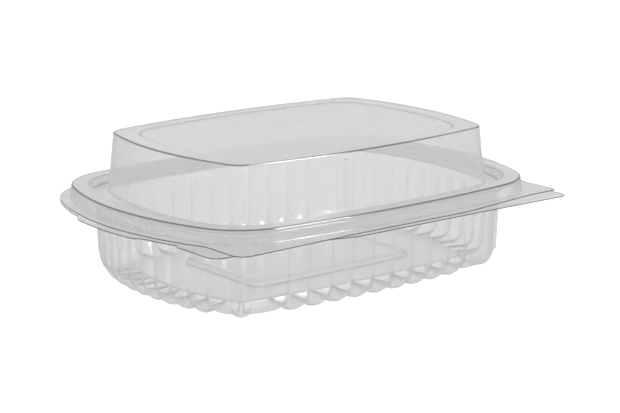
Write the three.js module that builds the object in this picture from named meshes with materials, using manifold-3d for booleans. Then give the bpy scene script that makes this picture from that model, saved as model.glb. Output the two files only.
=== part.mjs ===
// Clear takeaway meal container with a hinged lid, empty and shut.
// Millimetres, Z up. X runs along the long sides, the opening tabs face -Y and the hinge is at +Y.
// The origin is on the table under the middle of the container.
// Both halves are formed from thin sheet: each is a row of rings, first along its under side
// from the middle out to the flange, then back along its upper side to the middle.
import * as THREE from "three";
import { mergeVertices } from "three/addons/utils/BufferGeometryUtils.js";
import Module from "manifold-3d";

// Sheet, and the room between the two halves where they nest
const SHEET = 0.6;
const NEST = 0.4;

// Levels
const HEIGHT = 59.4;
const FLOOR = 3.6;
const PANEL = 5.6;
const TUB_FLANGE = 31.3;
const SHOULDER = 33.3;
const RIDGE_TOP = 36.8;
const LID_FLANGE = TUB_FLANGE + SHEET + NEST;
const LID_LEDGE = SHOULDER + SHEET + NEST;
const BEAD_TOP = 38.5;
const TOP_RECESS = 0.5;

// Plan outlines: half sizes, radii of the bowed sides and of the corners
const BEAD = { halfLength: 90, halfWidth: 65.6, longBow: 500, shortBow: 120, corner: 28 };
const LID_FOOT = { halfLength: 73.4, halfWidth: 51.9, longBow: 352, shortBow: 132, corner: 12 };
const LID_TOP = { halfLength: 71, halfWidth: 49.5, longBow: 350, shortBow: 130, corner: 9 };
const LID_RECESS = { halfLength: 61.5, halfWidth: 42, longBow: 350, shortBow: 130, corner: 16 };
const FLOOR_PANEL = { halfLength: 41, halfWidth: 25.5, longBow: 4000, shortBow: 4000, corner: 4 };
const ARC_COUNT = 8;

// Edges on those outlines: the drafts of the panel and the recess, and the lid's round edge
const PANEL_DRAFT = 0.9;
const RECESS_DRAFT = 0.9;
const TOP_ROUND = { across: 1, down: 0.7, out: 0.25 };

// Closure bead of the lid and ridge of the tub, as distances inside the bead's outline
const BEAD_WIDTH = 7.2;
const BEAD_DRAFT = 0.7;
const RIDGE_GAP = SHEET + NEST;

// Tub wall with its flutes, which end below in round fingers that the tub stands on
const WALL_INSET = 9.3;
const FLUTE_START = 31;
const FLUTE_TOP = 28;
const FLUTE_DEPTH = 0.8;
const WALL_FOOT = 9;
const WALL_DRAFT = 1.2;
const FINGER_REACH = 15.4;
const FOOT_ROUND = 6;
const LONG_FINGERS = { count: 9, pitch: 10.4 };
const SHORT_FINGERS = { count: 8, pitch: 9.2 };
const FINGER_STEPS = [0, 0.12, 0.36, 0.64, 0.88];
const CROWN_SHARE = 0.28;
const TOE = { inset: 0.9, z: FLOOR * 0.35, foot: 2.7 };
const CREASE_DEPTH = 0.2;
const CORNER_FOOT = 0.7;
const CORNER_STEPS = [0.08, 0.92];
const CORNER_RIB = { depth: 1.3, halfShare: 0.13 };
const KNUCKLE = { bulge: 0.4, halfShare: 0.2 };

// Flange: its width past the bead, the lips on the short sides and the tabs at the front corners
const FLANGE_WIDTH = 4.9;
const TAB_REACH = 40;
const TUB_TABS = {
  left: { x: 90, radius: 5 },
  right: { x: 86.2, radius: 4 },
  front: [[-90, -64.8], [-52, -64.2], [-26, -70.4], [30, -70.4], [86, -71.4]],
};
const LID_TABS = {
  left: { x: 84, radius: 5 },
  right: { x: 86, radius: 1.5 },
  front: [[-84, -72.05], [-74, -72.05], [-30, -70.4], [30, -70.4], [70, -64.8], [86, -64.4]],
};
const SIDE_LIP = { width: 2.1, halfLength: 17, ramp: 6 };

// Hinge: the flanges end on a straight line, and a thin web rolls up to the fold between them
const HINGE_HALF = 50;
const HINGE_EDGE = 70.6;
const HINGE_Y = 71.5;
const HINGE_Z = TUB_FLANGE + SHEET + NEST / 2;
const FOLD_RADIUS = 0.55;
const WEB = 0.4;
const WEB_OVERLAP = 0.6;
const WEB_END = 2;
const ROLL_SIDES = 10;

// Finish
const CLEAR_SHEET = { color: 0xdfe3e4, roughness: 0.12, metalness: 0, transparent: true, opacity: 0.3 };

// The eight arcs of a bowed outline, counter-clockwise from the right-hand side
function arcs({ halfLength, halfWidth, longBow, shortBow, corner }) {
  const long = { x: 0, y: halfWidth - longBow };
  const short = { x: halfLength - shortBow, y: 0 };
  const apart = Math.hypot(short.x - long.x, short.y - long.y);
  const along = { x: (short.x - long.x) / apart, y: (short.y - long.y) / apart };
  const reach = ((longBow - corner) ** 2 - (shortBow - corner) ** 2 + apart ** 2) / (2 * apart);
  const side = Math.sqrt((longBow - corner) ** 2 - reach ** 2);
  const cx = long.x + along.x * reach + along.y * side;
  const cy = long.y + along.y * reach - along.x * side;
  const atShort = Math.atan2(cy - short.y, cx - short.x);
  const atLong = Math.atan2(cy - long.y, cx - long.x);
  const arc = (x, y, radius, from, to) => ({ x, y, radius, from, to });
  return [
    arc(short.x, 0, shortBow, -atShort, atShort),
    arc(cx, cy, corner, atShort, atLong),
    arc(0, long.y, longBow, atLong, Math.PI - atLong),
    arc(-cx, cy, corner, Math.PI - atLong, Math.PI - atShort),
    arc(-short.x, 0, shortBow, Math.PI - atShort, Math.PI + atShort),
    arc(-cx, -cy, corner, Math.PI + atShort, Math.PI + atLong),
    arc(0, -long.y, longBow, Math.PI + atLong, 2 * Math.PI - atLong),
    arc(cx, -cy, corner, 2 * Math.PI - atLong, 2 * Math.PI - atShort),
  ];
}

// A point of an outline: stations count the arcs from 0 to 8, and inset moves inwards
function planPoint(outlineArcs, station, inset) {
  const index = Math.floor(station) % ARC_COUNT;
  const { x, y, radius, from, to } = outlineArcs[index];
  const angle = from + (to - from) * (station - Math.floor(station));
  const normal = [Math.cos(angle), Math.sin(angle)];
  const size = radius - inset;
  return { x: x + size * normal[0], y: y + size * normal[1], normal };
}

const beadArcs = arcs(BEAD);
const isShortSide = (index) => index % 4 === 0;
const isLongSide = (index) => index % 4 === 2;

// Share of a side of the tub wall that its fingers fill
function fingerShare(index) {
  const { radius, from, to } = beadArcs[index];
  const { count, pitch } = isShortSide(index) ? SHORT_FINGERS : LONG_FINGERS;
  return (count * pitch) / ((radius - WALL_INSET) * (to - from));
}

// Stations of the fluted wall: a few steps for each finger, and the ribbed corners
function flutedStations() {
  const stations = [];
  for (let index = 0; index < ARC_COUNT; index++) {
    if (isShortSide(index) || isLongSide(index)) {
      const { count } = isShortSide(index) ? SHORT_FINGERS : LONG_FINGERS;
      const share = fingerShare(index);
      const at = (place) => stations.push(index + (1 - share) / 2 + (place / count) * share);
      stations.push(index);
      for (const step of FINGER_STEPS.slice(1, 3).reverse()) at(-step);
      for (let finger = 0; finger < count; finger++) {
        for (const step of FINGER_STEPS) at(finger + step);
      }
      for (const step of FINGER_STEPS.slice(0, 3)) at(count + step);
    } else {
      const rib = [-1, -0.5, 0, 0.5, 1].map((side) => side * CORNER_RIB.halfShare);
      const spread = [-KNUCKLE.halfShare, ...rib, KNUCKLE.halfShare].map((step) => 0.5 + step);
      const steps = [...CORNER_STEPS, ...spread].sort((a, b) => a - b);
      for (const step of steps) stations.push(index + step);
    }
  }
  return stations;
}

// Stations of the plain parts
function plainStations(onShort, onCorner, onLong) {
  const stations = [];
  for (let index = 0; index < ARC_COUNT; index++) {
    const steps = isShortSide(index) ? onShort : isLongSide(index) ? onLong : onCorner;
    for (let step = 0; step < steps; step++) stations.push(index + step / steps);
  }
  return stations;
}

// How far a station is from the middle of its corner, from 0 there to 1 at a share of the arc
function offCorner(station, halfShare) {
  const index = Math.floor(station) % ARC_COUNT;
  if (isShortSide(index) || isLongSide(index)) return 1;
  return Math.min(1, Math.abs(station - Math.floor(station) - 0.5) / halfShare);
}

// How much of the corner rib a station has, from 0 beside it to 1 on its crest
function ribWeight(station) {
  return Math.cos((offCorner(station, CORNER_RIB.halfShare) * Math.PI) / 2) ** 2;
}

// How much of a finger a station has, from 0 in the crease between two to 1 on the flat crown.
// Past the last finger the foot is shallower, but for a round knuckle below the corner rib.
function fingerWeight(station) {
  const index = Math.floor(station) % ARC_COUNT;
  if (!isShortSide(index) && !isLongSide(index)) {
    return CORNER_FOOT + (1 - CORNER_FOOT) * Math.sqrt(1 - offCorner(station, KNUCKLE.halfShare) ** 2);
  }
  const { count } = isShortSide(index) ? SHORT_FINGERS : LONG_FINGERS;
  const share = fingerShare(index);
  const place = ((station - Math.floor(station) - (1 - share) / 2) / share) * count;
  const past = Math.max(-place, place - count);
  const within = place - Math.floor(place + 1e-9);
  const side = past > 0 ? Math.max(1 - 2 * past, 0) : Math.abs(2 * within - 1);
  const across = Math.max(0, side - CROWN_SHARE) / (1 - CROWN_SHARE);
  return Math.sqrt(Math.max(0, 1 - across * across)) * (past > 0 ? CORNER_FOOT : 1);
}

// Height of a broken line of [x, y] points at x
function lineAt(points, x) {
  for (let i = 1; i < points.length; i++) {
    const [x0, y0] = points[i - 1];
    const [x1, y1] = points[i];
    if (x <= x1) return y0 + ((y1 - y0) * Math.max(0, x - x0)) / (x1 - x0);
  }
  return points[points.length - 1][1];
}

// True inside a rounded outer corner at (sign * x, y) of a tab
function insideTabCorner(x, y, sign, tab, front) {
  const cx = tab.x - tab.radius;
  const cy = front + tab.radius;
  if (sign * x <= cx || y >= cy) return sign * x <= tab.x && y >= front;
  return Math.hypot(sign * x - cx, y - cy) <= tab.radius;
}

// True where a flange has material: a rim along the bead, the hinge's straight edge and the tabs
function insideFlange(x, y, rim, tabs) {
  const front = lineAt(tabs.front, x);
  if (y < front || y > HINGE_EDGE) return false;
  if (Math.abs(x) < HINGE_HALF && y > 0) return true;
  const tab = x < 0 ? tabs.left : tabs.right;
  const corner = lineAt(tabs.front, Math.sign(x) * tab.x);
  if (y < -TAB_REACH && insideTabCorner(x, y, Math.sign(x), tab, Math.max(front, corner))) return true;
  return rim;
}

// Outer edge of a flange, found along the bead's normals
function flangeEdge(stations, tabs, lip, z) {
  return stations.map((station) => {
    const start = planPoint(beadArcs, station, 0);
    const ramp = (SIDE_LIP.halfLength + SIDE_LIP.ramp - Math.abs(start.y)) / SIDE_LIP.ramp;
    const width = FLANGE_WIDTH + lip * THREE.MathUtils.smoothstep(ramp, 0, 1);
    let inner = BEAD_DRAFT + SHEET;
    let outer = TAB_REACH;
    while (outer - inner > 0.01) {
      const middle = (inner + outer) / 2;
      const x = start.x + start.normal[0] * middle;
      const y = start.y + start.normal[1] * middle;
      if (insideFlange(x, y, middle < width, tabs)) inner = middle;
      else outer = middle;
    }
    return [start.x + start.normal[0] * inner, start.y + start.normal[1] * inner, z];
  });
}

// A section row: an outline, how far inside it, and the level
const row = (outline, inset, z) => ({ outline, inset, z });

// The same rows moved by the sheet's thickness to their left, seen from the middle outwards
function otherFace(rows) {
  const at = rows.map(({ outline, inset, z }) => [outline.halfLength - inset, z]);
  const turn = (i) => {
    const [x0, z0] = at[Math.max(i, 0)];
    const [x1, z1] = at[Math.min(i + 1, at.length - 1)];
    const length = Math.hypot(x1 - x0, z1 - z0) || 1;
    return [-(z1 - z0) / length, (x1 - x0) / length];
  };
  return rows.map(({ outline, inset, z }, i) => {
    const before = i > 0 ? turn(i - 1) : turn(i);
    const after = i < rows.length - 1 ? turn(i) : before;
    const scale = SHEET / (1 + before[0] * after[0] + before[1] * after[1]);
    const out = (before[0] + after[0]) * scale;
    return row(outline, inset - out, z + (before[1] + after[1]) * scale);
  });
}

function ringOf({ outline, inset, z }, stations) {
  const outlineArcs = arcs(outline);
  const points = stations.map((station) => {
    const { x, y } = planPoint(outlineArcs, station, inset);
    return [x, y, z];
  });
  return { stations, points };
}

// A ring of the fluted wall, between its crown row and its crease row
function flutedRing(crown, crease, rib, stations) {
  const points = stations.map((station) => {
    const weight = fingerWeight(station);
    const inset = crease.inset + (crown.inset - crease.inset) * weight - rib * ribWeight(station);
    const { x, y } = planPoint(beadArcs, station, inset);
    return [x, y, crease.z + (crown.z - crease.z) * weight];
  });
  return { stations, points };
}

// Triangles between two rings whose stations may differ
function joinRings(faces, lower, lowerStart, upper, upperStart) {
  const lowerCount = lower.stations.length;
  const upperCount = upper.stations.length;
  const stationAt = ({ stations }, i) =>
    stations[i % stations.length] + ARC_COUNT * Math.floor(i / stations.length);
  let i = 0;
  let j = 0;
  while (i < lowerCount || j < upperCount) {
    const a = lowerStart + (i % lowerCount);
    const b = upperStart + (j % upperCount);
    const lowerNext = stationAt(lower, i + 1);
    const upperNext = stationAt(upper, j + 1);
    if (j >= upperCount || (i < lowerCount && lowerNext <= upperNext)) {
      faces.push(a, lowerStart + ((i + 1) % lowerCount), b);
      i++;
    } else {
      faces.push(a, upperStart + ((j + 1) % upperCount), b);
      j++;
    }
  }
}

// A closed solid through rings, capped at both ends by flat fans round the Z axis
function solidThrough(rings) {
  const vertices = [];
  const faces = [];
  const starts = rings.map(({ points }) => {
    const start = vertices.length / 3;
    for (const point of points) vertices.push(...point);
    return start;
  });
  for (let i = 1; i < rings.length; i++) {
    joinRings(faces, rings[i - 1], starts[i - 1], rings[i], starts[i]);
  }
  const ends = [
    [rings[0], starts[0], true],
    [rings.at(-1), starts.at(-1), false],
  ];
  for (const [ring, start, flip] of ends) {
    const hub = vertices.length / 3;
    const count = ring.points.length;
    vertices.push(0, 0, ring.points[0][2]);
    for (let i = 0; i < count; i++) {
      const next = start + ((i + 1) % count);
      if (flip) faces.push(hub, next, start + i);
      else faces.push(hub, start + i, next);
    }
  }
  const geometry = new THREE.BufferGeometry();
  geometry.setAttribute("position", new THREE.Float32BufferAttribute(vertices, 3));
  geometry.setIndex(faces);
  return geometry;
}

// Under side of the tub's fingers and wall, on a crown and in a crease
function wallRows() {
  const foot = WALL_INSET + WALL_DRAFT;
  const inner = WALL_INSET + FINGER_REACH;
  const round = (turn) => {
    const inset = foot + FOOT_ROUND * (1 - Math.cos(turn));
    return row(BEAD, inset, WALL_FOOT * (1 - Math.sin(turn)));
  };
  const crown = [
    row(BEAD, inner, FLOOR),
    row(BEAD, inner - TOE.inset, TOE.z),
    row(BEAD, inner - TOE.foot, 0),
    round(Math.PI / 2),
    round(Math.PI / 3),
    round(Math.PI / 5.5),
    round(0),
    row(BEAD, WALL_INSET + 0.3, FLUTE_TOP),
    row(BEAD, WALL_INSET + 0.1, FLUTE_START),
    row(BEAD, WALL_INSET, SHOULDER),
  ];
  const crease = [
    row(BEAD, inner, FLOOR),
    row(BEAD, inner - TOE.inset, FLOOR - CREASE_DEPTH / 2),
    row(BEAD, inner - TOE.foot, FLOOR - CREASE_DEPTH),
    row(BEAD, foot + FOOT_ROUND + 0.4, FLOOR - CREASE_DEPTH),
    row(BEAD, foot + 3.4, FLOOR + 0.3),
    row(BEAD, foot + 1.7, FLOOR + 2),
    row(BEAD, foot + FLUTE_DEPTH + 0.1, WALL_FOOT + 0.5),
    row(BEAD, WALL_INSET + 0.3 + FLUTE_DEPTH, FLUTE_TOP),
    row(BEAD, WALL_INSET + 0.1, FLUTE_START),
    row(BEAD, WALL_INSET, SHOULDER),
  ];
  const { bulge } = KNUCKLE;
  const rib = [0, 0, bulge / 2, bulge, bulge, bulge, CORNER_RIB.depth, CORNER_RIB.depth, 0, 0];
  return { crown, crease, rib };
}

// Closure of the tub: a shoulder, the ridge that the lid's bead snaps over, and the flange
function ridgeRows() {
  const outer = RIDGE_GAP + SHEET;
  const inner = BEAD_WIDTH - RIDGE_GAP - SHEET;
  return [
    row(BEAD, WALL_INSET, SHOULDER),
    row(BEAD, inner + BEAD_DRAFT, SHOULDER),
    row(BEAD, inner, RIDGE_TOP),
    row(BEAD, outer, RIDGE_TOP),
    row(BEAD, outer - BEAD_DRAFT, TUB_FLANGE),
  ];
}

function tubGeometry() {
  const fluted = flutedStations();
  const plain = plainStations(8, 9, 13);
  const edge = plainStations(10, 20, 14);
  const panel = plainStations(1, 5, 1);
  const { crown, crease, rib } = wallRows();
  const ridge = ridgeRows();
  const wholeCrown = otherFace([...crown, ...ridge.slice(1)]);
  const upperRidge = otherFace([crown.at(-2), ...ridge]);
  const upperCrown = wholeCrown.slice(0, crown.length);
  const upperCrease = otherFace([...crease, ridge[1]]).slice(0, crease.length);
  const panelRows = [row(FLOOR_PANEL, PANEL_DRAFT, PANEL), row(FLOOR_PANEL, 0, FLOOR)];
  const panelMiddle = row(FLOOR_PANEL, FLOOR_PANEL.halfWidth, PANEL);
  const upperPanel = otherFace([panelMiddle, ...panelRows, crown[0]]);
  const rings = [
    ...panelRows.map((r) => ringOf(r, panel)),
    ...crown.slice(0, -1).map((r, i) => flutedRing(r, crease[i], rib[i], fluted)),
    ...ridge.map((r) => ringOf(r, plain)),
    { stations: edge, points: flangeEdge(edge, TUB_TABS, SIDE_LIP.width, TUB_FLANGE) },
    { stations: edge, points: flangeEdge(edge, TUB_TABS, SIDE_LIP.width, TUB_FLANGE + SHEET) },
    ...upperRidge.slice(2).reverse().map((r) => ringOf(r, plain)),
    ringOf(upperCrown.at(-1), plain),
    ...upperCrown.slice(0, -1).map((r, i) => flutedRing(r, upperCrease[i], rib[i], fluted)).reverse(),
    ringOf(upperPanel[2], panel),
    ringOf(upperPanel[1], panel),
  ];
  return solidThrough(rings);
}

// Lid: flange, bead, ledge, drafted wall and a flat top with a shallow recess
function lidGeometry() {
  const plain = plainStations(8, 9, 13);
  const edge = plainStations(10, 20, 14);
  const top = HEIGHT - SHEET;
  const under = [
    row(LID_RECESS, LID_RECESS.corner, top - TOP_RECESS),
    row(LID_RECESS, 0, top - TOP_RECESS),
    row(LID_RECESS, -RECESS_DRAFT, top),
    row(LID_TOP, TOP_ROUND.across, top),
    row(LID_TOP, SHEET - TOP_ROUND.out, top - TOP_ROUND.down),
    row(LID_FOOT, SHEET, LID_LEDGE),
    row(BEAD, BEAD_WIDTH - SHEET + BEAD_DRAFT, LID_LEDGE),
    row(BEAD, BEAD_WIDTH - SHEET, BEAD_TOP - SHEET),
    row(BEAD, SHEET, BEAD_TOP - SHEET),
    row(BEAD, SHEET - BEAD_DRAFT, LID_FLANGE),
    row(BEAD, -FLANGE_WIDTH, LID_FLANGE),
  ];
  const upper = otherFace(under).slice(1, -1);
  const rings = [
    ...under.slice(1, -1).map((r) => ringOf(r, plain)),
    { stations: edge, points: flangeEdge(edge, LID_TABS, 0, LID_FLANGE) },
    { stations: edge, points: flangeEdge(edge, LID_TABS, 0, LID_FLANGE + SHEET) },
    ...upper.reverse().map((r) => ringOf(r, plain)),
  ];
  return solidThrough(rings);
}

// Fold of the hinge: a thin web from the tub's flange and the roll at its edge
function foldGeometries() {
  const length = 2 * (HINGE_HALF - WEB_END);
  const web = new THREE.BoxGeometry(length, HINGE_Y - HINGE_EDGE + WEB_OVERLAP, WEB);
  web.translate(0, (HINGE_Y + HINGE_EDGE - WEB_OVERLAP) / 2, TUB_FLANGE + SHEET / 2);
  const roll = new THREE.CylinderGeometry(FOLD_RADIUS, FOLD_RADIUS, length, ROLL_SIDES);
  roll.rotateZ(Math.PI / 2);
  roll.translate(0, HINGE_Y, HINGE_Z);
  return [web, roll];
}

const wasm = await Module();
wasm.setup();

function toManifold(geometry) {
  const bare = new THREE.BufferGeometry();
  bare.setAttribute("position", geometry.getAttribute("position"));
  bare.setIndex(geometry.getIndex());
  const merged = mergeVertices(bare);
  return new wasm.Manifold(
    new wasm.Mesh({
      numProp: 3,
      vertProperties: new Float32Array(merged.getAttribute("position").array),
      triVerts: new Uint32Array(merged.getIndex().array),
    })
  );
}

function toGeometry(solid) {
  const mesh = solid.getMesh();
  const geometry = new THREE.BufferGeometry();
  geometry.setAttribute("position", new THREE.Float32BufferAttribute(mesh.vertProperties, 3));
  geometry.setIndex([...mesh.triVerts]);
  return geometry;
}

function clearSheet(name, geometry) {
  const shaded = geometry.toNonIndexed();
  shaded.computeVertexNormals();
  const mesh = new THREE.Mesh(shaded, new THREE.MeshStandardMaterial(CLEAR_SHEET));
  mesh.name = name;
  return mesh;
}

const container = new THREE.Group();
const [web, roll] = foldGeometries().map(toManifold);
const tub = toManifold(tubGeometry()).add(web).add(roll);
container.add(clearSheet("tub", toGeometry(tub)));
container.add(clearSheet("lid", lidGeometry()));

export default container;
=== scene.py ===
"""A clear takeaway meal container, empty and shut, laid out as a Blender add-on.

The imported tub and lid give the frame, and each is shown by a finer formed sheet here.
Sizes are in metres. A sheet is a row of rings from its middle out to the edge of its flange,
softened into round bends, and then given its thickness.
"""

import math

import bpy
import numpy as np
from mathutils import Matrix, Vector


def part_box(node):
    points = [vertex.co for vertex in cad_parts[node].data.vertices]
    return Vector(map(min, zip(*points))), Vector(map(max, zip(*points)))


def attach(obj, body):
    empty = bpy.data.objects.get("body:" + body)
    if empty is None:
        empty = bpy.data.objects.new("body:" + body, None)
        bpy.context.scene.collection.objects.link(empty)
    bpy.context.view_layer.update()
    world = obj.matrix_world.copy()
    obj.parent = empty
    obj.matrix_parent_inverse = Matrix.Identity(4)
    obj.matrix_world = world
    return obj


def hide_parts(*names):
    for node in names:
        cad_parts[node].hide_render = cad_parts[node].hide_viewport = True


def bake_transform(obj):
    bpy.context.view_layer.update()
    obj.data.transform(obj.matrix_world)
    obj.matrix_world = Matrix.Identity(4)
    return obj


bl_info = {
    "name": "Takeaway Container",
    "version": (1, 0, 0),
    "blender": (4, 5, 0),
    "location": "3D View > Sidebar > Container",
    "description": "Makes a clear takeaway meal container with a hinged lid, and its studio",
    "category": "Add Mesh",
}

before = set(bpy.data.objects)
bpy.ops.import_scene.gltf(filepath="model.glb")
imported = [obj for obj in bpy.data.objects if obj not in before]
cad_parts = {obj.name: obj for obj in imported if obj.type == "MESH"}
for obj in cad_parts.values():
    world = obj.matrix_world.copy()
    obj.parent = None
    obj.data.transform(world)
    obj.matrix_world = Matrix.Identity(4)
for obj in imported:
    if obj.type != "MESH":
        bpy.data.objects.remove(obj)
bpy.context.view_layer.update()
MM = 0.001

# Levels of the formed sheets: the lid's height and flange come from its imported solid
SOLID_SHEET = 0.6 * MM
LID_LOW, LID_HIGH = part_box("lid")
HEIGHT = LID_HIGH[2]
FLOOR = 3.6 * MM
PANEL = 5.6 * MM
TUB_FLANGE = 31.3 * MM
SHOULDER = 33.3 * MM
RIDGE_TOP = 36.8 * MM
LID_FLANGE = LID_LOW[2] + SOLID_SHEET
LID_LEDGE = 34.9 * MM
BEAD_TOP = 38.5 * MM
TOP_RECESS = 0.5 * MM

# Plan outlines: half sizes, radii of the bowed sides and of the corners
BEAD = (90 * MM, 65.6 * MM, 500 * MM, 120 * MM, 28 * MM)
LID_FOOT = (73.4 * MM, 51.9 * MM, 352 * MM, 132 * MM, 12 * MM)
LID_TOP = (70.8 * MM, 49.3 * MM, 350 * MM, 130 * MM, 9 * MM)
LID_RECESS = (61.5 * MM, 42 * MM, 350 * MM, 130 * MM, 16 * MM)
FLOOR_PANEL = (41 * MM, 25.5 * MM, 4, 4, 4 * MM)

# Insets of the rings at the floor panel and the lid's recess: the slope between their two levels,
# the floor's first ring beside the panel, and the first ring of all, inside which the sheet is flat
PANEL_SLOPE = 0.9 * MM
RECESS_SLOPE = 0.9 * MM
PANEL_RIM = 1 * MM
FLAT_MIDDLE = 3 * MM

# Closure bead and ridge, the fluted wall, and the fingers that the tub stands on: how many
# there are on each long and short side, and how far apart
BEAD_WIDTH = 7.2 * MM
BEAD_DRAFT = 0.7 * MM
RIDGE_OUTER = 1.6 * MM
RIDGE_INNER = 5.6 * MM
WALL_INSET = 9.3 * MM
WALL_DRAFT = 1.2 * MM
WALL_FOOT = 9 * MM
FLUTE_TOP = 28 * MM
FLUTE_START = 31 * MM
FINGER_REACH = 15.4 * MM
FOOT_ROUND = 6 * MM
FOOT_TURNS = [90, 72, 54, 36, 20, 13, 8, 0]
LONG_FINGERS = (9, 10.4 * MM)
SHORT_FINGERS = (8, 9.2 * MM)

# Under side of the tub's foot, as pairs of millimetres past its inner or outer end and above the
# floor: the fingers' soles, the creases between the soles, and the creases beside their ends
CROWN_SOLE = [(0, 0), (-0.9, -2.34), (-2.7, -3.6)]
CREASE_SOLE = [(0, 0), (-1, -0.1), (-2.6, -0.2)]
CREASE_FOOT = [(6.4, -0.2), (3.4, 0.3), (1.7, 2), (0.1, 5.9)]

# How far the wall stands in from its line at the top of the flutes and where they start
FLUTE_TOP_INSET = 0.3 * MM
FLUTE_START_INSET = 0.1 * MM

# Corners of the tub: how much of a finger they have, the shares of the corner's arc that half
# the rib and half its knuckle take, and how much of its height the rib has at each wall ring
CORNER_FOOT = 0.7
RIB_SHARE = 0.13
KNUCKLE_SHARE = 0.2
KNUCKLE_BULGE = 0.3
RIB_RISES = [0, 0, KNUCKLE_BULGE / 2, *[KNUCKLE_BULGE] * 6, 1, 1, 1, 0, 0]

# Counts of stations round the tub: on a finger, beside the fingers, beside a knuckle and on it.
# For the lid: on a short side, a corner and a long side
FINGER_STEPS = 12
LEAD_STEPS = 5
CORNER_STEPS = 7
KNUCKLE_STEPS = 23
LID_STEPS = (40, 36, 60)

# Flange: its width past the bead, the lips on the short sides and the tabs at the front corners
FLANGE_WIDTH = 4.9 * MM
TAB_REACH = 40 * MM
TUB_TABS = {
    "left": (90 * MM, 5 * MM),
    "right": (86.2 * MM, 4 * MM),
    "front": [(-90, -64.8), (-52, -64.2), (-26, -70.4), (30, -70.4), (86, -71.4)],
}
LID_TABS = {
    "left": (84 * MM, 5 * MM),
    "right": (86 * MM, 1.5 * MM),
    "front": [(-84, -72), (-74, -72), (-30, -70.4), (30, -70.4), (70, -64.8), (86, -64.4)],
}
SIDE_LIP = (2.1 * MM, 17 * MM, 6 * MM)

# Where each flange starts past the bead, in bead drafts, and the halvings that find its edge
TUB_FLANGE_START = 0.9
LID_FLANGE_START = 2.4
HALVINGS = 22

# Hinge: the straight edge of both flanges, the fold between them, and the share of painted shade
# the fold gets
HINGE_HALF = 50 * MM
HINGE_EDGE = 70.6 * MM
FOLD_REACH = 1.3 * MM
FOLD_END = 3 * MM
FOLD_LAP = 0.1 * MM
FOLD_STEPS = 13
FOLD_SECTIONS = 9
FOLD_SHADE = 0.35

# The bend that still looks flat and gets no painted shade, and the radius that gets it fully
LEAST_BEND = 0.15
BEND_RADIUS = 0.55 * MM

# Bends: the share of a side they may take, the flat row beside each, their rows on the tub and
# on the lid, and the gaps between points that turning is measured over
MOST_REACH = 0.48
FLAT_ROW = 0.25 * MM
TUB_BEND_STEPS = 5
LID_BEND_STEPS = 8
BEND_GAPS = (0.05 * MM, 0.4 * MM)

# Each ring of the tub, from its floor panel outwards: the reach of its bend in millimetres, how
# much of the bend shows as painted shade and opacity across the rings and along them, and the least
# that shows
TUB_BENDS = [
    # Floor panel and the floor beside it
    (0, 0, 0, 0),
    (0.9, 0.5, 0, 0.16),
    (0.4, 1, 0, 0.16),
    (0, 0, 0, 0),
    # Soles of the fingers
    (0.3, 0.4, 0.35, 0),
    (1, 0.3, 0.4, 0),
    (1.6, 0.3, 0.4, 0),
    # Ends of the fingers
    (1.5, 0.2, 0.35, 0),
    (1.5, 0.2, 0.25, 0),
    (1.5, 0.2, 0.16, 0),
    (1.5, 0.2, 0.16, 0),
    (1.5, 0.2, 0.16, 0),
    (0.4, 0.2, 0.16, 0),
    (0.4, 0.2, 0.16, 0),
    (0.8, 0.2, 0.16, 0),
    # Top of the flutes and the shoulder
    (3, 0, 0.16, 0),
    (1, 0, 0, 0),
    (0.5, 0.2, 0, 0),
    # Closure ridge
    (0.5, 0.3, 0, 0),
    (0.6, 0.2, 0, 0),
    (0.6, 0.3, 0, 0),
    (0.5, 0.15, 0, 0),
    # Flange
    (0, 0, 0, 0),
    (0, 0, 0, 0),
]

# Each ring of the lid, from its recess outwards: the reach of its bend in millimetres, and how
# much of it shows as painted shade and opacity. The ring at TOP_EDGE takes the reach that the user
# sets
TOP_EDGE = 3
LID_BENDS = [
    # Recess and top edge
    (0, 0),
    (0.25, 1.1),
    (0.25, 0.25),
    (0, 1),
    # Ledge and closure bead
    (0.7, 0.25),
    (0.5, 0.4),
    (0.6, 0.35),
    (0.7, 1),
    # Flange
    (0.5, 0.15),
    (0, 0),
    (0, 0),
]

# Shorter than any side of a mesh, to keep a division from failing
TINY = 1e-12

# Faces of sheet that one line of sight can pass, and the light that it lets pass to what it shades
SHEETS_IN_A_ROW = 48
PASSING_LIGHT = 0.96

# Clear plastic: its gloss, the scales of its unevenness, how strongly each shows, and how fast
# the look follows a bend and a glancing view. At a bend the look is painted shade: a darker colour
# and more opacity
PLASTIC_IOR = 1.57
GLOSS_COAT = 0.2
COAT_ROUGHNESS = 0.04
SMOOTH = 0.07
DRIFT_SCALE = 28.0
DRIFT = 0.02
HAZE_SCALE = 160.0
HAZE = 0.08
RIPPLE_SCALE = 55.0
RIPPLE = 0.06
RIPPLE_DEPTH = 0.6 * MM
BEND_SHADE_GAIN = 1.3
GLANCE_POWER = 2.5
BEND_POWER = 0.8

# Cut edge: the scale of its roughness, and how it changes the finish
CHATTER_SCALE = 900.0
EDGE_ROUGHNESS = 0.25
EDGE_CHATTER = 0.2
EDGE_DRIFT = 0.15

# Studio floor: half its side, the scale of its unevenness, and its finish
FLOOR_REACH = 6.0
FLOOR_SCALE = 3.0
FLOOR_WORN = 0.985
FLOOR_ROUGHNESS = 0.6
FLOOR_GLOSS = 0.2
FLOOR_GLOW = 0.2

# Light from all round, by height of its direction, and the soft boxes: place, size and power
SKY_STOPS = (
    (0.0, (0.42, 0.42, 0.425, 1)),
    (0.06, (0.7, 0.701, 0.703, 1)),
    (0.45, (1.0, 1.0, 1.0, 1)),
)
SOFT_BOXES = {
    "low_box": ((0.33, -0.76, 0.28), 0.2, 5),
    "high_box": ((0.39, -0.68, 0.7), 0.35, 5),
}

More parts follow.
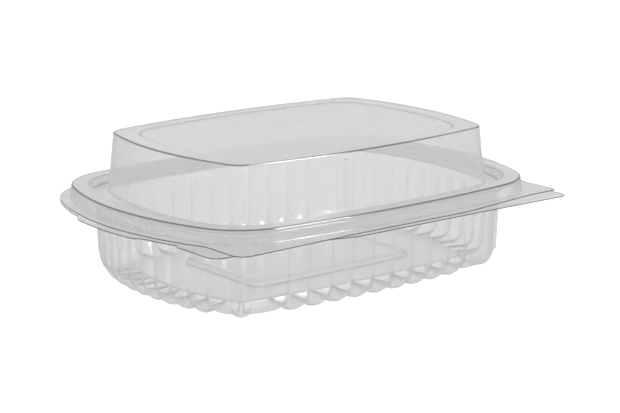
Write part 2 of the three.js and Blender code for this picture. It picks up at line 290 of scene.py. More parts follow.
# Camera: where it looks from, and where the photograph's frame puts the point it aims at
VIEW_AZIMUTH = math.radians(-38.508)
VIEW_ELEVATION = math.radians(12.417)
VIEW_DISTANCE = 0.81254
VIEW_TARGET = Vector((0, 0, 0.04))
PIXELS_PER_METRE = 2417
PHOTO_SIZE = (620, 413)
TARGET_PIXEL = (297.945, 174.007)
SENSOR = 36.0
NEAREST_SEEN = 0.05


class Wire:
    """A shader value that Python's arithmetic works on."""

    def __init__(self, socket):
        self.socket = socket
        self.tree = socket.id_data

    def maths(self, operation, first, second, clamp=False):
        node = self.tree.nodes.new("ShaderNodeMath")
        node.operation = operation
        node.use_clamp = clamp
        connect(self.tree, first, node.inputs[0])
        connect(self.tree, second, node.inputs[1])
        return Wire(node.outputs[0])

    def __add__(self, other):
        return self.maths("ADD", self, other)

    def __mul__(self, other):
        return self.maths("MULTIPLY", self, other)

    def __sub__(self, other):
        return self.maths("SUBTRACT", self, other)

    def __rsub__(self, other):
        return self.maths("SUBTRACT", other, self)

    def __pow__(self, other):
        return self.maths("POWER", self, other)

    __radd__ = __add__
    __rmul__ = __mul__

    def clamped(self):
        """The value kept between 0 and 1."""
        return self.maths("ADD", self, 0.0, clamp=True)


def connect(tree, value, socket):
    """Links a wire into a socket, or sets the socket to a plain value."""
    if isinstance(value, Wire):
        tree.links.new(value.socket, socket)
    else:
        socket.default_value = value


class Recipe:
    """The nodes of a new material or world, with a short way to add more."""

    def __init__(self, owner, shader="Principled BSDF"):
        owner.use_nodes = True
        self.owner = owner
        self.tree = owner.node_tree
        self.shader = self.tree.nodes[shader]

    def node(self, kind, settings=None, output=0, **sockets):
        """Adds a node, sets it up, then fills its sockets, named with _ for a space."""
        made = self.tree.nodes.new(kind)
        for name, value in (settings or {}).items():
            if name == "stops":
                set_stops(made.color_ramp, value)
            else:
                setattr(made, name, value)
        for name, value in sockets.items():
            connect(self.tree, value, made.inputs[name.replace("_", " ")])
        return Wire(made.outputs[output])

    def blend_colours(self, share, first, second):
        """A colour between two, by a share from 0 to 1."""
        made = self.tree.nodes.new("ShaderNodeMix")
        made.data_type = "RGBA"
        sockets = [s for s in made.inputs if s.type == "RGBA"]
        connect(self.tree, share, made.inputs[0])
        connect(self.tree, first, sockets[0])
        connect(self.tree, second, sockets[1])
        return Wire(next(s for s in made.outputs if s.type == "RGBA"))

    def finish(self, **sockets):
        """Fills the shader's own sockets and returns the material or world."""
        for name, value in sockets.items():
            connect(self.tree, value, self.shader.inputs[name.replace("_", " ")])
        return self.owner


def set_stops(ramp, stops):
    """Gives a colour ramp its stops, as pairs of position and colour, lowest first."""
    for end in (0, -1):
        ramp.elements[end].position, ramp.elements[end].color = stops[end]
    for position, colour in stops[1:-1]:
        ramp.elements.new(position).color = colour


def arcs(outline):
    """The eight arcs of a bowed rounded rectangle, counter-clockwise from the right-hand side."""
    half_length, half_width, long_bow, short_bow, corner = outline
    long_y = half_width - long_bow
    short_x = half_length - short_bow
    apart = math.hypot(short_x, long_y)
    along = (short_x / apart, -long_y / apart)
    reach = ((long_bow - corner) ** 2 - (short_bow - corner) ** 2 + apart**2) / (2 * apart)
    side = math.sqrt((long_bow - corner) ** 2 - reach**2)
    cx = along[0] * reach + along[1] * side
    cy = long_y + along[1] * reach - along[0] * side
    at_short = math.atan2(cy, cx - short_x)
    at_long = math.atan2(cy - long_y, cx)
    half, whole = math.pi, 2 * math.pi
    return np.array(
        [
            (short_x, 0, short_bow, -at_short, at_short),
            (cx, cy, corner, at_short, at_long),
            (0, long_y, long_bow, at_long, half - at_long),
            (-cx, cy, corner, half - at_long, half - at_short),
            (-short_x, 0, short_bow, half - at_short, half + at_short),
            (-cx, -cy, corner, half + at_short, half + at_long),
            (0, -long_y, long_bow, half + at_long, whole - at_long),
            (cx, -cy, corner, whole - at_long, whole - at_short),
        ]
    )


def plan(outline, stations, inset):
    """Points of an outline at stations from 0 to 8, one for each arc, moved inwards by inset."""
    rows = arcs(outline)[np.floor(stations).astype(int) % 8]
    angle = rows[:, 3] + (rows[:, 4] - rows[:, 3]) * (stations - np.floor(stations))
    normal = np.stack([np.cos(angle), np.sin(angle)], axis=1)
    return rows[:, :2] + (rows[:, 2] - inset)[:, None] * normal, normal


def is_side(index):
    """True for the even arcs, which are the sides. The odd ones are the corners."""
    return index % 2 == 0


def fingers_on(index):
    """Count of fingers on a side and the share of its arc that they fill."""
    count, pitch = SHORT_FINGERS if index % 4 == 0 else LONG_FINGERS
    _, _, radius, start, end = arcs(BEAD)[index]
    return count, count * pitch / ((radius - WALL_INSET) * (end - start))


def tub_stations():
    """Stations of the tub: close together in each crease and on the corner knuckles."""
    turn = (1 - np.cos(np.pi * np.arange(FINGER_STEPS) / FINGER_STEPS)) / 2
    half = np.concatenate([turn[: FINGER_STEPS // 2], [0.5]])
    outside = np.linspace(0, 0.5 - KNUCKLE_SHARE, CORNER_STEPS)[:-1]
    inside = np.linspace(0.5 - KNUCKLE_SHARE, 0.5 + KNUCKLE_SHARE, KNUCKLE_STEPS)
    stations = []
    for index in range(8):
        if is_side(index):
            count, share = fingers_on(index)
            lead = (1 - share) / 2
            beside = lead - share * 0.5 / count
            places = (np.arange(count)[:, None] + turn).ravel()
            stations += list(index + np.linspace(0, beside, LEAD_STEPS)[:-1])
            stations += list(index + lead - share * half[:0:-1] / count)
            stations += list(index + lead + places / count * share)
            stations += list(index + 1 - lead + share * half / count)
            stations += list(index + 1 - np.linspace(beside, 0, LEAD_STEPS)[1:-1])
        else:
            stations += list(index + outside) + list(index + inside)
            stations += list(index + 1 - outside[:0:-1])
    return np.array(stations)


def lid_stations():
    """Evenly spread stations for the lid, which has no fingers."""
    on_short, on_corner, on_long = LID_STEPS
    counts = [on_short, on_corner, on_long, on_corner] * 2
    return np.concatenate([i + np.arange(n) / n for i, n in enumerate(counts)])


def off_corner(station, share):
    """How far a station is from its corner's middle: 0 there, 1 at a share of the arc and on."""
    return 1.0 if is_side(int(station) % 8) else min(1.0, abs(station % 1 - 0.5) / share)


def finger_weight(station):
    """How much of a finger a station has: 0 in a crease, 1 on a crown, less at the corners."""
    index = int(station) % 8
    if not is_side(index):
        past = off_corner(station, KNUCKLE_SHARE)
        return CORNER_FOOT + (1 - CORNER_FOOT) * math.sqrt(1 - past**2)
    count, share = fingers_on(index)
    place = (station % 1 - (1 - share) / 2) / share * count
    past = max(-place, place - count)
    if past > 0:
        return CORNER_FOOT * math.sqrt(1 - max(1 - 2 * past, 0) ** 2)
    return math.sqrt(max(0, 1 - (2 * (place % 1) - 1) ** 2))


def line_at(points, x):
    """Height of a broken line, given in millimetres, at x."""
    xs, ys = zip(*points)
    return float(np.interp(x / MM, xs, ys)) * MM


def inside_flange(x, y, on_rim, tabs):
    """True where a flange has sheet: its rim, the straight hinge edge and the tabs."""
    front = line_at(tabs["front"], x)
    if y < front or y > HINGE_EDGE:
        return False
    if abs(x) < HINGE_HALF and y > 0:
        return True
    reach, radius = tabs["left" if x < 0 else "right"]
    if y >= -TAB_REACH or abs(x) > reach:
        return on_rim
    corner = max(front, line_at(tabs["front"], math.copysign(reach, x))) + radius
    if abs(x) <= reach - radius or y >= corner:
        return True
    return on_rim or math.hypot(abs(x) - reach + radius, y - corner) <= radius


def flange_edge(stations, tabs, lip):
    """Outer edge of a flange in plan, found along the bead's normals."""
    starts, normals = plan(BEAD, stations, 0)
    width, half_length, ramp = SIDE_LIP
    points = []
    for start, normal in zip(starts, normals):
        share = min(max((half_length + ramp - abs(start[1])) / ramp, 0), 1)
        rim = FLANGE_WIDTH + lip * width * share * share * (3 - 2 * share)
        inner, outer = BEAD_DRAFT, TAB_REACH
        for _ in range(HALVINGS):
            middle = (inner + outer) / 2
            x, y = start + normal * middle
            if inside_flange(x, y, middle < rim, tabs):
                inner = middle
            else:
                outer = middle
        points.append(start + normal * inner)
    return np.array(points)


def level(points, z):
    """A ring of points in plan, all at one height."""
    return np.column_stack([points, np.full(len(points), z)])


def ring(outline, stations, inset, z):
    """A level ring of an outline."""
    points, _ = plan(outline, stations, inset)
    return level(points, z)


def part_way(here, there, reach):
    """Points at a reach from here towards there, but always short of half way."""
    step = there - here
    length = np.linalg.norm(step, axis=1, keepdims=True)
    return here + step * MOST_REACH * np.tanh(reach / MOST_REACH / np.maximum(length, TINY))


def soften(rings, reaches, steps):
    """Turns each ring that has a reach into a round bend, with a flat row close to either side."""
    rows = [rings[0]]
    for before, here, after, reach in zip(rings, rings[1:], rings[2:], reaches[1:]):
        if reach <= 0:
            rows.append(here)
            continue
        start, end = part_way(here, before, reach), part_way(here, after, reach)
        rows.append(part_way(here, before, reach + FLAT_ROW))
        for t in np.linspace(0, 1, steps):
            rows.append((1 - t) ** 2 * start + 2 * t * (1 - t) * here + t * t * end)
        rows.append(part_way(here, after, reach + FLAT_ROW))
    rows.append(part_way(rings[-1], rings[-2], FLAT_ROW))
    rows.append(rings[-1])
    return np.array(rows)


def grid_normals(rows):
    """Unit normals of a grid of rings, pointing up at its middle."""
    along = np.roll(rows, -1, axis=1) - np.roll(rows, 1, axis=1)
    out = np.gradient(rows, axis=0)
    return unit(np.cross(out, along))


def unit(vectors):
    """A grid of vectors, each brought to a length of one."""
    return vectors / np.maximum(np.linalg.norm(vectors, axis=2, keepdims=True), TINY)


def turning(rows, facing, axis):
    """How much the sheet turns for each metre along one direction of its grid of rings.

    The faces on the two sides of each point are compared, so turning within the sheet is nothing.
    """
    beside = unit(facing + np.roll(facing, 1, axis=1 - axis))
    cosine = (beside * np.roll(beside, 1, axis=axis)).sum(axis=2)
    lengths = [np.linalg.norm(np.roll(rows, step, axis=axis) - rows, axis=2) for step in (1, -1)]
    gap = sum(np.clip(length, *BEND_GAPS) for length in lengths) / 2
    return np.arccos(np.clip(cosine, -1, 1)) / gap


def row_values(values, reaches, steps):
    """A value for each row that soften makes, from one for each of its rings."""
    inner = [steps + 2 if reach > 0 else 1 for reach in reaches[1:-1]]
    return np.repeat(values, [1, *inner, 2])[:, None]


# Its result sets how much painted shade and opacity each point of a sheet gets
def bend_of(rows, full, folds, creases):
    """How sharply the sheet bends at each point: 0 when flat, 1 at a radius of full or less.

    Folds are the shares that count across the rings, and creases those that count along them.
    """
    after = np.roll(rows, -1, axis=1)
    diagonals = after[1:] - rows[:-1], rows[1:] - after[:-1]
    facing = unit(np.cross(*diagonals))
    facing = np.concatenate([facing, facing[-1:]])
    both = [turning(rows, facing, axis) * full for axis in (0, 1)]
    both[0][[0, -1]] = 0
    both[1][0] = 0
    across, along = (np.clip((part - LEAST_BEND) / (1 - LEAST_BEND), 0, 1) for part in both)
    return np.clip(np.maximum(across * folds, along * creases), 0, 1)


def sheet_mesh(name, rows, thickness, bend):
    """A closed sheet between a grid of rings and the same grid moved by its thickness."""
    normals = grid_normals(rows)
    other = rows + normals * thickness
    count, around = rows.shape[:2]
    size = count * around
    points = np.concatenate([rows.reshape(-1, 3), other.reshape(-1, 3)])
    hubs = [rows[0].mean(axis=0), other[0].mean(axis=0)]
    grid = np.arange(size).reshape(count, around)
    after = np.roll(grid, -1, axis=1)
    under = np.stack([grid[:-1], after[:-1], after[1:], grid[1:]], axis=-1).reshape(-1, 4)
    over = under[:, ::-1]
    quads = np.concatenate([under, over + size] if thickness > 0 else [over, under + size])
    faces = quads.tolist()
    rim = []
    for i in range(around):
        j = (i + 1) % around
        a, b = grid[-1, i], grid[-1, j]
        edge = [a, b, b + size, a + size]
        rim.append(edge if thickness > 0 else edge[::-1])
        low, high = [2 * size, j, i], [2 * size + 1, size + i, size + j]
        faces.append(low if thickness > 0 else low[::-1])
        faces.append(high if thickness > 0 else high[::-1])
    mesh = bpy.data.meshes.new(name)
    mesh.from_pydata([*points.tolist(), *[h.tolist() for h in hubs]], [], faces + rim)
    mesh.polygons.foreach_set("use_smooth", [True] * len(faces) + [False] * len(rim))
    # The bend attribute carries the share of painted shade and opacity at bends to the finish
    values = np.concatenate([bend.ravel(), bend.ravel(), [0, 0]])
    attribute = mesh.attributes.new("bend", "FLOAT", "POINT")
    attribute.data.foreach_set("value", values.astype(np.float32))
    mesh.materials.append(None)
    mesh.materials.append(None)
    slots = [0] * len(faces) + [1] * len(rim)
    mesh.polygons.foreach_set("material_index", slots)
    mesh.update()
    return mesh


def show(mesh, body, materials):
    """Puts a mesh in the scene as a piece, which rides on a body if one is named."""
    for index, material in enumerate(materials):
        mesh.materials[index] = material
    piece = bpy.data.objects.new(mesh.name, mesh)
    bpy.context.scene.collection.objects.link(piece)
    if body:
        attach(piece, body)
    return piece


def clear_sheet(name, look):
    """Clear formed plastic: greyer at bends by painted shade, greyer at a glancing view, faintly
    rippled.
    """
    recipe = Recipe(bpy.data.materials.new(name))
    place = recipe.node("ShaderNodeTexCoord", output="Object")
    bend = recipe.node("ShaderNodeAttribute", {"attribute_name": "bend"}, output="Fac")
    glance = recipe.node("ShaderNodeLayerWeight", output="Facing", Blend=0.5)
    drift = recipe.node("ShaderNodeTexNoise", Vector=place, Scale=DRIFT_SCALE, Detail=2.0)
    haze = recipe.node("ShaderNodeTexNoise", Vector=place, Scale=HAZE_SCALE, Detail=4.0)
    ripple = recipe.node("ShaderNodeTexNoise", Vector=place, Scale=RIPPLE_SCALE, Detail=1.0)
    shadow = recipe.node("ShaderNodeLightPath", output="Is Shadow Ray")
    bounce = recipe.node("ShaderNodeLightPath", output="Is Diffuse Ray")
    # Painted shade: the sheet turns towards the dark bend tint where it bends
    painted_bend_shade = (bend * BEND_SHADE_GAIN).clamped()
    colour = recipe.blend_colours(painted_bend_shade, (*look.tint, 1), (*look.bend_shade_tint, 1))
    solid = look.body + look.glancing * glance**GLANCE_POWER + look.bends * bend**BEND_POWER
    solid = (solid + DRIFT * (drift - 0.5)).clamped()
    bump = recipe.node("ShaderNodeBump", Height=ripple, Strength=RIPPLE, Distance=RIPPLE_DEPTH)
    return recipe.finish(
        Base_Color=colour,
        Roughness=SMOOTH + HAZE * haze,
        Alpha=solid * (1 - PASSING_LIGHT * (shadow + bounce).clamped()),
        Normal=bump,
        IOR=PLASTIC_IOR,
        Coat_Weight=GLOSS_COAT,
        Coat_Roughness=COAT_ROUGHNESS,
    )


def cut_edge(name, look):
    """The cut rim of the sheet, coloured dark as painted shade, where light piles up and the
    plastic looks darker.
    """
    recipe = Recipe(bpy.data.materials.new(name))
    place = recipe.node("ShaderNodeTexCoord", output="Object")
    chatter = recipe.node("ShaderNodeTexNoise", Vector=place, Scale=CHATTER_SCALE, Detail=2.0)
    # Painted shade: the edge mixes two dark colours by its chatter
    colour = recipe.blend_colours(chatter, (*look.edge_shade_tint, 1), (*look.bend_shade_tint, 1))
    return recipe.finish(
        Base_Color=colour,
        Roughness=EDGE_ROUGHNESS + EDGE_CHATTER * chatter,
        Alpha=(look.edge + EDGE_DRIFT * (chatter - 0.5)).clamped(),
        IOR=PLASTIC_IOR,
    )


class ContainerSizes(bpy.types.PropertyGroup):
    """Sizes of the two formed sheets."""

    sheet: bpy.props.FloatProperty(
        name="Sheet",
        description="Thickness of the formed plastic sheet",
        default=0.4 * MM,
        min=0.1 * MM,
        max=0.6 * MM,
        unit="LENGTH",
    )
    flute: bpy.props.FloatProperty(
        name="Flutes",
        description="How deep the creases between the wall's flutes are",
        default=0.65 * MM,
        min=0,
        max=1.5 * MM,
        unit="LENGTH",
    )
    rib: bpy.props.FloatProperty(
        name="Corner ribs",
        description="How far the corner ribs stand out of the wall",
        default=1.3 * MM,
        min=0,
        max=2 * MM,
        unit="LENGTH",
    )
    top_bend: bpy.props.FloatProperty(
        name="Top bend",
        description="Length of the bend round the top edge of the lid",
        default=0.75 * MM,
        min=0.5 * MM,
        max=4 * MM,
        unit="LENGTH",
    )


class ContainerLook(bpy.types.PropertyGroup):
    """Colours and clearness of the plastic."""

    tint: bpy.props.FloatVectorProperty(
        name="Sheet tint",
        description="Colour of the flat sheet",
        subtype="COLOR",
        size=3,
        min=0,
        max=1,
        default=(0.585, 0.587, 0.589),
    )
    # Painted shade: the dark colour that bends take in place of the darkening clear plastic shows
    # there; the cut edges mix it in too
    bend_shade_tint: bpy.props.FloatVectorProperty(
        name="Bend tint",
        description="Colour of the sheet where it bends",
        subtype="COLOR",
        size=3,
        min=0,
        max=1,
        default=(0.1, 0.1, 0.105),
    )
    # Painted shade: the cut edges are coloured dark in place of how clear plastic darkens there
    edge_shade_tint: bpy.props.FloatVectorProperty(
        name="Edge tint",
        description="Colour of the cut edges",
        subtype="COLOR",
        size=3,
        min=0,
        max=1,
        default=(0.07, 0.07, 0.075),
    )
    body: bpy.props.FloatProperty(
        name="Body",
        description="How solid one face of the flat sheet looks",
        default=0.29,
        min=0,
        max=1,
        subtype="FACTOR",
    )
    glancing: bpy.props.FloatProperty(
        name="Glancing",
        description="How much more solid the sheet looks at a glancing view",
        default=0.55,
        min=0,
        max=1,
        subtype="FACTOR",
    )
    # More opacity at bends lets the painted shade of the bend tint show
    bends: bpy.props.FloatProperty(
        name="Bends",
        description="How much more solid the sheet looks where it bends",
        default=0.6,
        min=0,
        max=1,
        subtype="FACTOR",
    )
    edge: bpy.props.FloatProperty(
        name="Cut edges",
        description="How solid the cut edges look",
        default=0.9,
        min=0,
        max=1,
        subtype="FACTOR",
    )


class ContainerStudio(bpy.types.PropertyGroup):
    """Floor and lights."""

    floor_tint: bpy.props.FloatVectorProperty(
        name="Floor",
        description="Colour of the plain floor",
        subtype="COLOR",
        size=3,
        min=0,
        max=1,
        default=(0.97, 0.97, 0.97),
    )
    sky: bpy.props.FloatProperty(
        name="Surrounding light",
        description="Strength of the even light from all round",
        default=1.0,
        min=0,
        max=3,
    )
    lamp: bpy.props.FloatProperty(
        name="Lamps",
        description="Strength of the soft boxes as a share of their usual power",
        default=1.0,
        min=0,
        max=4,
        subtype="FACTOR",
    )


def wall_keys(flute):
    """Inset and height of each ring of the wall's under side, on a finger and in a crease."""
    foot = WALL_INSET + WALL_DRAFT
    inner = WALL_INSET + FINGER_REACH
    turns = np.radians(FOOT_TURNS)
    crown_foot = [
        (foot + FOOT_ROUND * (1 - math.cos(turn)), WALL_FOOT * (1 - math.sin(turn)))
        for turn in turns
    ]
    insets, rises = np.array(CREASE_FOOT).T * MM
    insets[-1] += flute
    marks = np.linspace(0, 1, len(insets))
    along = 1 - turns * 2 / np.pi
    crease_foot = zip(
        foot + np.interp(along, marks, insets),
        FLOOR + np.interp(along, marks, rises),
    )
    crown_sole, crease_sole = (
        [(inner + inset * MM, FLOOR + rise * MM) for inset, rise in sole]
        for sole in (CROWN_SOLE, CREASE_SOLE)
    )
    top = [
        (WALL_INSET + FLUTE_START_INSET, FLUTE_START),
        (WALL_INSET, SHOULDER),
    ]
    flute_top = WALL_INSET + FLUTE_TOP_INSET
    crown = [*crown_sole, *crown_foot, (flute_top, FLUTE_TOP), *top]
    crease = [*crease_sole, *crease_foot, (flute_top + flute, FLUTE_TOP), *top]
    return crown, crease


def wall_rings(stations, flute, rib):
    """Rings of the tub's wall from the floor's edge up to the shoulder, on its under side."""
    finger = np.array([finger_weight(s) for s in stations])
    ridge = np.array([math.cos(off_corner(s, RIB_SHARE) * math.pi / 2) ** 2 for s in stations])
    rings = []
    for (t1, z1), (t0, z0), rise in zip(*wall_keys(flute), RIB_RISES):
        weight = finger if z0 < WALL_FOOT else finger**2
        points, _ = plan(BEAD, stations, t0 + (t1 - t0) * weight - rib * rise * ridge)
        rings.append(np.column_stack([points, z0 + (z1 - z0) * weight]))
    return rings


def tub_rows(sizes):
    """All rings of the tub's under side, from its floor panel to its flange's edge, and bends."""
    stations = tub_stations()
    rings = [
        ring(FLOOR_PANEL, stations, FLAT_MIDDLE, PANEL),
        ring(FLOOR_PANEL, stations, PANEL_SLOPE, PANEL),
        ring(FLOOR_PANEL, stations, 0, FLOOR),
        ring(FLOOR_PANEL, stations, -PANEL_RIM, FLOOR),
        *wall_rings(stations, sizes.flute, sizes.rib),
        ring(BEAD, stations, RIDGE_INNER + BEAD_DRAFT, SHOULDER),
        ring(BEAD, stations, RIDGE_INNER, RIDGE_TOP),
        ring(BEAD, stations, RIDGE_OUTER, RIDGE_TOP),
        ring(BEAD, stations, RIDGE_OUTER - BEAD_DRAFT, TUB_FLANGE),
        ring(BEAD, stations, -TUB_FLANGE_START * BEAD_DRAFT, TUB_FLANGE),
        level(flange_edge(stations, TUB_TABS, 1), TUB_FLANGE),
    ]
    reaches, *shares = zip(*TUB_BENDS)
    rows = soften(rings, [reach * MM for reach in reaches], TUB_BEND_STEPS)
    rows[:, :, 2] = np.maximum(rows[:, :, 2], 0)
    across, along, least = (row_values(share, reaches, TUB_BEND_STEPS) for share in shares)
    return rows, np.maximum(bend_of(rows, BEND_RADIUS, across, along), least)


def lid_rows(sizes):
    """All rings of the lid's upper side, from its recessed top to its flange's edge, and bends."""
    stations = lid_stations()
    rings = [
        ring(LID_RECESS, stations, FLAT_MIDDLE, HEIGHT - TOP_RECESS),
        ring(LID_RECESS, stations, 0, HEIGHT - TOP_RECESS),
        ring(LID_RECESS, stations, -RECESS_SLOPE, HEIGHT),
        ring(LID_TOP, stations, 0, HEIGHT),
        ring(LID_FOOT, stations, 0, LID_LEDGE),
        ring(BEAD, stations, BEAD_WIDTH + BEAD_DRAFT, LID_LEDGE),
        ring(BEAD, stations, BEAD_WIDTH, BEAD_TOP),
        ring(BEAD, stations, 0, BEAD_TOP),
        ring(BEAD, stations, -BEAD_DRAFT, LID_FLANGE),
        ring(BEAD, stations, -LID_FLANGE_START * BEAD_DRAFT, LID_FLANGE),
        level(flange_edge(stations, LID_TABS, 0), LID_FLANGE),
    ]
    reaches = [reach * MM for reach, _ in LID_BENDS]
    reaches[TOP_EDGE] = sizes.top_bend
    rows = soften(rings, reaches, LID_BEND_STEPS)
    across = row_values([share for _, share in LID_BENDS], reaches, LID_BEND_STEPS)
    return rows, bend_of(rows, BEND_RADIUS, across, 0)


def fold_section(low, high, sheet):
    """The hinge strip's outline, as points of y and z, from the low flange round to the high."""
    radius = (high - low) / 2
    middle = (high + low) / 2
    centre_y = HINGE_EDGE + FOLD_REACH - radius - sheet / 4
    angles = np.linspace(-np.pi / 2, np.pi / 2, FOLD_STEPS)
    bow = np.column_stack([centre_y + radius * np.cos(angles), middle + radius * np.sin(angles)])
    start, end = (HINGE_EDGE - FOLD_LAP, low), (HINGE_EDGE - FOLD_LAP, high)
    path = np.concatenate([[start], bow, [end]])
    tangent = np.gradient(path, axis=0)
    tangent /= np.linalg.norm(tangent, axis=1, keepdims=True)
    skin = np.stack([tangent[:, 1], -tangent[:, 0]], axis=1) * sheet / 4
    return np.concatenate([path + skin, (path - skin)[::-1]])


def fold_mesh(name, section):
    """The hinge's strip: its outline drawn along the back, with closed ends."""
    half = HINGE_HALF - FOLD_END
    points = [(x, y, z) for x in np.linspace(-half, half, FOLD_SECTIONS) for y, z in section]
    n = len(section)
    faces = []
    for i in range(0, len(points) - n, n):
        for j in range(n):
            k = (j + 1) % n
            faces.append((i + j, i + k, i + n + k, i + n + j))
    round_faces = len(faces)
    for j in range(n // 2 - 1):
        cap = (j, j + 1, n - 2 - j, n - 1 - j)
        last = len(points) - n
        faces += [cap[::-1], tuple(last + corner for corner in cap)]
    mesh = bpy.data.meshes.new(name)
    mesh.from_pydata(points, [], faces)
    smooth = np.arange(len(faces)) < round_faces
    mesh.polygons.foreach_set("use_smooth", smooth)
    # The whole fold gets one share of painted shade, as a bend
    bend = mesh.attributes.new("bend", "FLOAT", "POINT")
    bend.data.foreach_set("value", np.full(len(points), FOLD_SHADE, dtype=np.float32))
    mesh.materials.append(None)
    mesh.update()
    return mesh


class TAKEAWAY_OT_tub(bpy.types.Operator):
    """Make the fluted tub with its finger foot, ridge and flange."""

    bl_idname = "takeaway.tub"
    bl_label = "Tub"

    def execute(self, context):
        sizes, look = context.scene.container_sizes, context.scene.container_look
        rows, bend = tub_rows(sizes)
        mesh = sheet_mesh("formed_tub", rows, sizes.sheet, bend)
        finishes = [clear_sheet("tub_clear", look), cut_edge("tub_edge", look)]
        piece = show(mesh, "tub", finishes)
        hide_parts("tub")
        return {"FINISHED"}


class TAKEAWAY_OT_lid(bpy.types.Operator):
    """Make the high lid with its recessed top, ledge, bead and flange."""

    bl_idname = "takeaway.lid"
    bl_label = "Lid"

    def execute(self, context):
        sizes, look = context.scene.container_sizes, context.scene.container_look
        rows, bend = lid_rows(sizes)
        mesh = sheet_mesh("formed_lid", rows, -sizes.sheet, bend)
        finishes = [clear_sheet("lid_clear", look), cut_edge("lid_edge", look)]
        piece = show(mesh, "lid", finishes)
        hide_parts("lid")
        return {"FINISHED"}


class TAKEAWAY_OT_hinge(bpy.types.Operator):
    """Make the folded strip that joins the two flanges at the back."""

    bl_idname = "takeaway.hinge"
    bl_label = "Hinge fold"

    def execute(self, context):
        sizes, look = context.scene.container_sizes, context.scene.container_look
        low = TUB_FLANGE + sizes.sheet / 2
        high = LID_FLANGE - sizes.sheet / 2
        mesh = fold_mesh("hinge_fold", fold_section(low, high, sizes.sheet))
        piece = show(mesh, None, [clear_sheet("fold_clear", look)])
        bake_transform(piece)
        return {"FINISHED"}


class TAKEAWAY_OT_stage(bpy.types.Operator):
    """Make the pale floor, the soft lights and the camera."""

    bl_idname = "takeaway.stage"
    bl_label = "Studio"

    def execute(self, context):
        studio = context.scene.container_studio
        make_floor(studio)
        make_lights(context.scene, studio)
        make_camera(context.scene)
        context.scene.cycles.transparent_max_bounces = SHEETS_IN_A_ROW
        return {"FINISHED"}


def make_floor(studio):
    """A wide plain floor with a barely uneven, matt finish, which gloss doesn't mirror."""
    mesh = bpy.data.meshes.new("floor")
    reach = FLOOR_REACH
    corners = [(-reach, -reach, 0), (reach, -reach, 0), (reach, reach, 0), (-reach, reach, 0)]
    mesh.from_pydata(corners, [], [(0, 1, 2, 3)])
    recipe = Recipe(bpy.data.materials.new("pale_floor"))
    place = recipe.node("ShaderNodeTexCoord", output="Object")
    grain = recipe.node("ShaderNodeTexNoise", Vector=place, Scale=FLOOR_SCALE)
    worn = [FLOOR_WORN * part for part in studio.floor_tint]
    colour = recipe.blend_colours(grain, (*studio.floor_tint, 1), (*worn, 1))
    material = recipe.finish(
        Base_Color=colour,
        Roughness=FLOOR_ROUGHNESS,
        Specular_IOR_Level=FLOOR_GLOSS,
        Emission_Color=colour,
        Emission_Strength=FLOOR_GLOW,
    )
    material.cycles.emission_sampling = "NONE"
    mesh.materials.append(material)
    floor = bpy.data.objects.new("floor", mesh)
    floor.visible_glossy = False
    bpy.context.scene.collection.objects.link(floor)


def make_lights(scene, studio):
    """Even light from all round, darker from the horizon down, and two soft boxes for gloss."""
    sky = Recipe(bpy.data.worlds.new("studio"), "Background")
    place = sky.node("ShaderNodeTexCoord", output="Generated")
    height = sky.node("ShaderNodeSeparateXYZ", output="Z", Vector=place)
    shade = sky.node("ShaderNodeValToRGB", {"stops": SKY_STOPS}, Fac=height)
    scene.world = sky.finish(Color=shade, Strength=studio.sky)
    for name, (place_at, size, power) in SOFT_BOXES.items():
        light = bpy.data.lights.new(name, "AREA")
        light.size = size
        light.energy = power * studio.lamp
        lamp = bpy.data.objects.new(name, light)
        lamp.location = place_at
        lamp.visible_diffuse = False
        aim = Vector((0, 0, HEIGHT / 2)) - lamp.location
        lamp.rotation_euler = aim.to_track_quat("-Z", "Y").to_euler()
        scene.collection.objects.link(lamp)


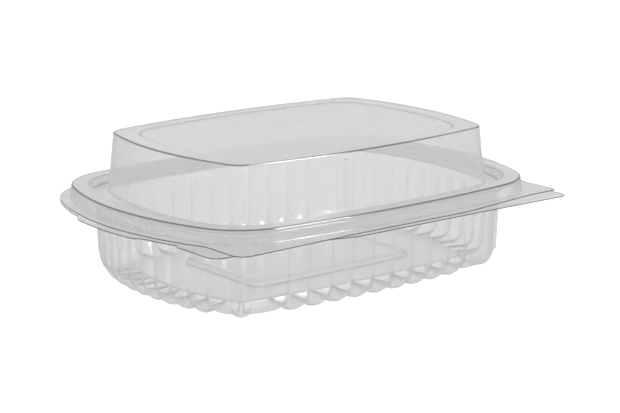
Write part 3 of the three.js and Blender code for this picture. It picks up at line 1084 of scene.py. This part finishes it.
def make_camera(scene):
    """A camera at the photograph's viewing angle."""
    camera = bpy.data.objects.new("photo_camera", bpy.data.cameras.new("photo_camera"))
    width, height = PHOTO_SIZE
    camera.data.sensor_width = SENSOR
    camera.data.lens = PIXELS_PER_METRE * VIEW_DISTANCE / width * SENSOR
    camera.data.shift_x = (width / 2 - TARGET_PIXEL[0]) / width
    camera.data.shift_y = (TARGET_PIXEL[1] - height / 2) / width
    camera.data.clip_start = NEAREST_SEEN
    right = Vector((math.cos(VIEW_AZIMUTH), math.sin(VIEW_AZIMUTH), 0))
    level_back = Vector((math.sin(VIEW_AZIMUTH), -math.cos(VIEW_AZIMUTH), 0))
    back = level_back * math.cos(VIEW_ELEVATION)
    back.z = math.sin(VIEW_ELEVATION)
    up = back.cross(right)
    turn = Matrix((right, up, back)).transposed().to_4x4()
    camera.matrix_world = Matrix.Translation(VIEW_TARGET + back * VIEW_DISTANCE) @ turn
    scene.collection.objects.link(camera)
    scene.camera = camera
    scene.view_settings.view_transform = "Standard"


class TAKEAWAY_PT_panel(bpy.types.Panel):
    """The container's settings and the buttons that make it."""

    bl_idname = "TAKEAWAY_PT_panel"
    bl_label = "Takeaway container"
    bl_space_type = "VIEW_3D"
    bl_region_type = "UI"
    bl_category = "Container"

    def draw(self, context):
        scene = context.scene
        for group in (scene.container_sizes, scene.container_look, scene.container_studio):
            box = self.layout.box()
            for name in group.__annotations__:
                box.prop(group, name)
        for operator in OPERATORS:
            self.layout.operator(operator.bl_idname)


GROUPS = {
    "container_sizes": ContainerSizes,
    "container_look": ContainerLook,
    "container_studio": ContainerStudio,
}
OPERATORS = (TAKEAWAY_OT_tub, TAKEAWAY_OT_lid, TAKEAWAY_OT_hinge, TAKEAWAY_OT_stage)


def register():
    for name, group in GROUPS.items():
        bpy.utils.register_class(group)
        setattr(bpy.types.Scene, name, bpy.props.PointerProperty(type=group))
    for operator in OPERATORS:
        bpy.utils.register_class(operator)
    bpy.utils.register_class(TAKEAWAY_PT_panel)


def unregister():
    bpy.utils.unregister_class(TAKEAWAY_PT_panel)
    for operator in reversed(OPERATORS):
        bpy.utils.unregister_class(operator)
    for name, group in reversed(GROUPS.items()):
        delattr(bpy.types.Scene, name)
        bpy.utils.unregister_class(group)


def main():
    register()
    bpy.ops.takeaway.tub()
    bpy.ops.takeaway.lid()
    bpy.ops.takeaway.hinge()
    bpy.ops.takeaway.stage()


if __name__ == "__main__":
    main()
